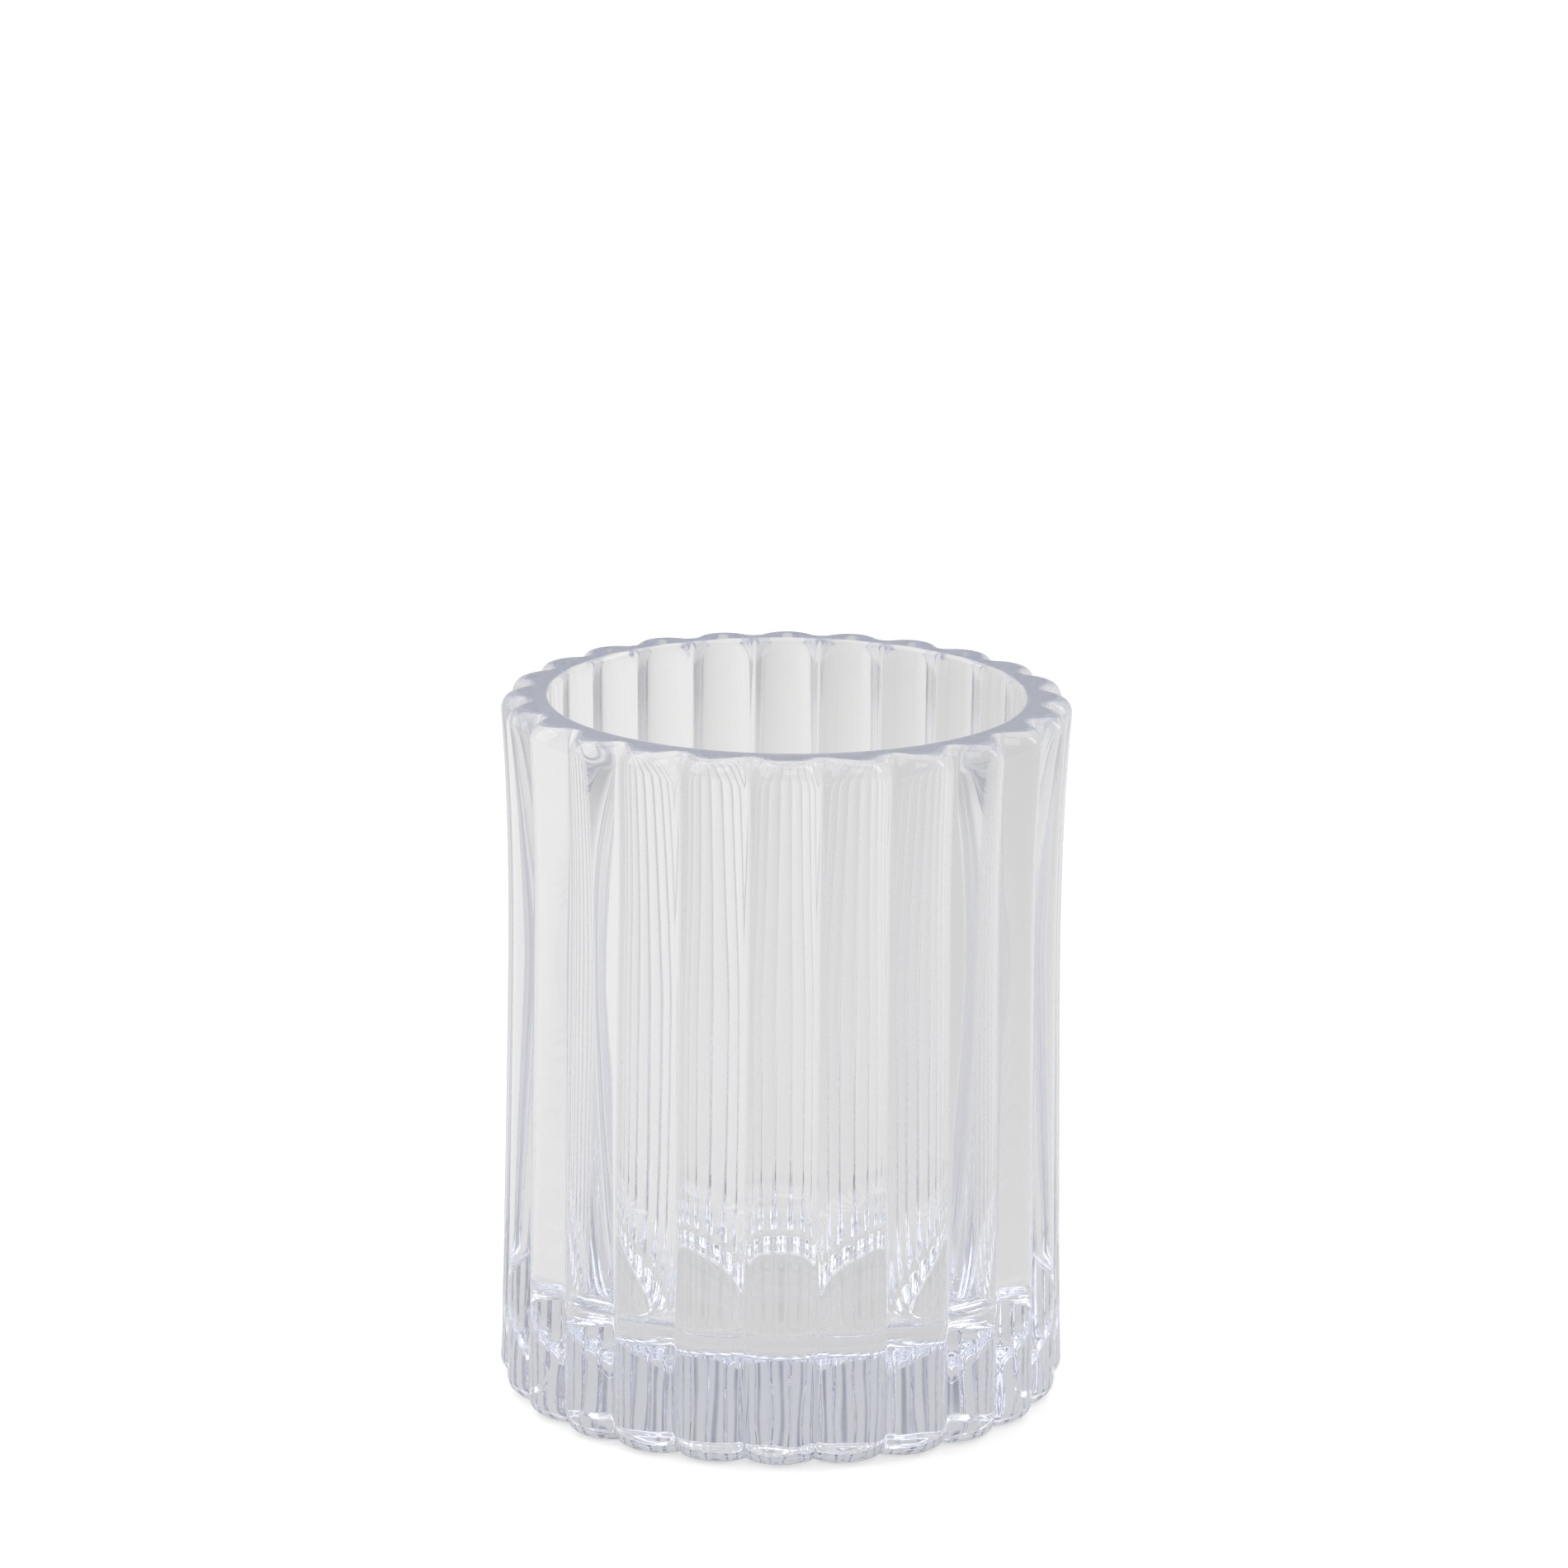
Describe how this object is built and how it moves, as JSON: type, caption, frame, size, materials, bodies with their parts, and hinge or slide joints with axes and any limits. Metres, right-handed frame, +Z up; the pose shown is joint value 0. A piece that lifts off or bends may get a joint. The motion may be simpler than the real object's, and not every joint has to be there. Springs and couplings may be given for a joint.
{
  "type": "tealight holder",
  "caption": "Round clear-glass tealight holder: an open tumbler with upright reeds round the outside, a plain round cavity and a thick solid base.",
  "frame": {"origin": "centre of the underside, on the vertical axis of the holder", "axes": "+Z up along the axis of the cavity, out of its mouth; -Y is the front, where one reed faces straight out; +X to the right"},
  "size_m": [0.08, 0.08, 0.1],
  "materials": {
    "clear_glass": "clear colourless soda-lime glass, press-moulded and fire-polished, glossy all over"
  },
  "bodies": {
    "root": {"glass_body": "clear_glass"}
  },
  "joints": []
}
